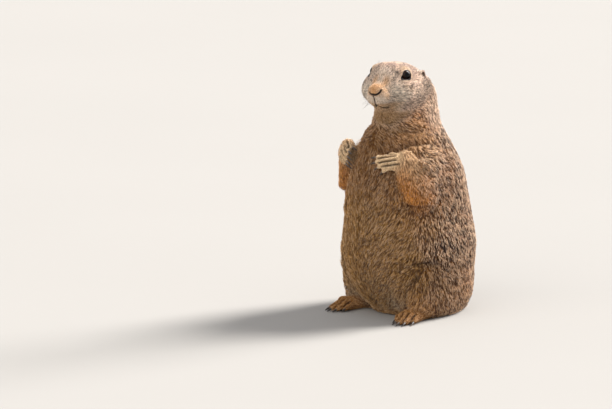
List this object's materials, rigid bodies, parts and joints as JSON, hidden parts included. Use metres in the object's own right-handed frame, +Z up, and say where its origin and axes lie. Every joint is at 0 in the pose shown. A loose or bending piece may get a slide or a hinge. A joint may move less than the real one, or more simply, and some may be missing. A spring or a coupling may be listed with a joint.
{
  "type": "prairie dog",
  "caption": "Stout prairie dog sitting upright on its haunches, forepaws held before its chest and head turned to its left, as a still, life-size museum model.",
  "frame": {"origin": "on the floor, at the middle of the model's box", "axes": "+Z up, the animal's body faces -Y and its left side is +X"},
  "size_m": [0.1396, 0.164, 0.2378],
  "materials": {
    "face_coat": "short, dense grizzled fur, pinkish grey with a tan bridge to the nose",
    "body_coat": "soft fur, grizzled brown with pale tips on the back, olive gold on the belly",
    "limb_coat": "short golden tan fur, cream on the paws",
    "tail_tip": "dark brown to black fur",
    "eye": "wet, near black, with sharp highlights",
    "bare_skin": "dark bare skin of the nostrils, lips and lid rims",
    "claw": "smooth dark horn, paler towards the toe",
    "whisker": "fine dark hair"
  },
  "bodies": {
    "root": {"head": "face_coat", "eye_left": "eye", "eye_right": "eye", "ear_left": "face_coat", "ear_right": "face_coat", "neck": "body_coat", "torso": "body_coat", "thigh_left": "body_coat", "thigh_right": "body_coat", "upper_arm_left": "body_coat", "upper_arm_right": "body_coat", "forearm_left": "limb_coat", "forearm_right": "limb_coat", "forepaw_left": "limb_coat", "forepaw_right": "limb_coat", "hind_foot_left": "limb_coat", "hind_foot_right": "limb_coat", "tail": "limb_coat", "tail_tip": "tail_tip", "forepaw_left_claw_1": "claw", "forepaw_left_claw_2": "claw", "forepaw_left_claw_3": "claw", "forepaw_left_claw_4": "claw", "forepaw_left_claw_5": "claw", "forepaw_right_claw_1": "claw", "forepaw_right_claw_2": "claw", "forepaw_right_claw_3": "claw", "forepaw_right_claw_4": "claw", "forepaw_right_claw_5": "claw", "hind_foot_left_claw_1": "claw", "hind_foot_left_claw_2": "claw", "hind_foot_left_claw_3": "claw", "hind_foot_left_claw_4": "claw", "hind_foot_left_claw_5": "claw", "hind_foot_right_claw_1": "claw", "hind_foot_right_claw_2": "claw", "hind_foot_right_claw_3": "claw", "hind_foot_right_claw_4": "claw", "hind_foot_right_claw_5": "claw"}
  },
  "joints": []
}
